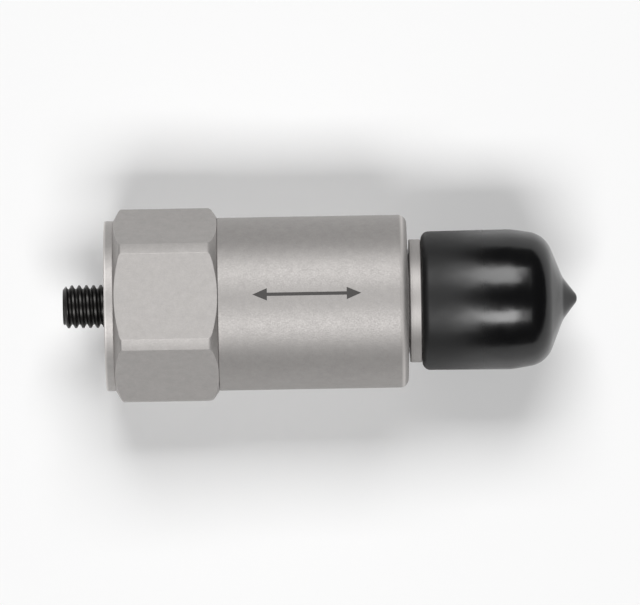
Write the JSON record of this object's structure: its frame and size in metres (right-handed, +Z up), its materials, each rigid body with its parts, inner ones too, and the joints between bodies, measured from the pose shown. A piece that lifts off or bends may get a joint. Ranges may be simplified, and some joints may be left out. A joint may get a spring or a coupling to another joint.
{
  "type": "vibration sensor",
  "caption": "Stud-mounted industrial vibration sensor: hexagon base, cylindrical stainless housing and a threaded connector under a pull-off vinyl cap.",
  "frame": {"origin": "on the ground under the middle of the length, with the sensor lying on one flat of its hexagon", "axes": "+X along the sensor's axis from the mounting stud to the cap, +Z up"},
  "size_m": [0.0714, 0.0268, 0.024],
  "materials": {
    "housing_steel": "bead blasted stainless steel",
    "connector_steel": "fine turned stainless steel",
    "black_oxide_steel": "black oxide on alloy steel",
    "contact_metal": "gold plated brass",
    "mass_metal": "sintered tungsten alloy",
    "insulator": "moulded insulator",
    "vinyl_cap": "dip moulded soft vinyl",
    "ceramic": "fired ceramic",
    "moulded_nylon": "natural nylon",
    "board": "glass epoxy board",
    "chip": "moulded resin",
    "capacitor": "moulded resin",
    "trimmer": "moulded plastic",
    "lead_sleeve": "insulated wire"
  },
  "bodies": {
    "sensor": {"hex_base": "housing_steel", "housing_shell": "housing_steel", "mounting_stud": "black_oxide_steel", "connector_shell": "connector_steel", "connector_insert": "insulator", "contact_pin_a": "contact_metal", "contact_pin_b": "contact_metal", "isolation_disc": "ceramic", "element_base": "connector_steel", "piezo_ring_lower": "ceramic", "piezo_ring_upper": "ceramic", "electrode_washer": "contact_metal", "seismic_mass": "mass_metal", "bolt_sleeve": "moulded_nylon", "preload_bolt": "connector_steel", "faraday_shield": "connector_steel", "board_carrier": "moulded_nylon", "circuit_board": "board", "amplifier_chip": "chip", "current_transistor": "chip", "filter_capacitor": "capacitor", "input_capacitor": "capacitor", "sense_resistor": "chip", "gain_trimmer": "trimmer", "signal_lead": "lead_sleeve", "output_lead_a": "lead_sleeve", "output_lead_b": "lead_sleeve"},
    "cap": {"protective_cap": "vinyl_cap"}
  },
  "joints": [
    {"name": "cap_pull", "type": "slide", "parent": "sensor", "child": "cap", "axis": [1, 0, 0], "range_m": [0, 0.02]}
  ]
}
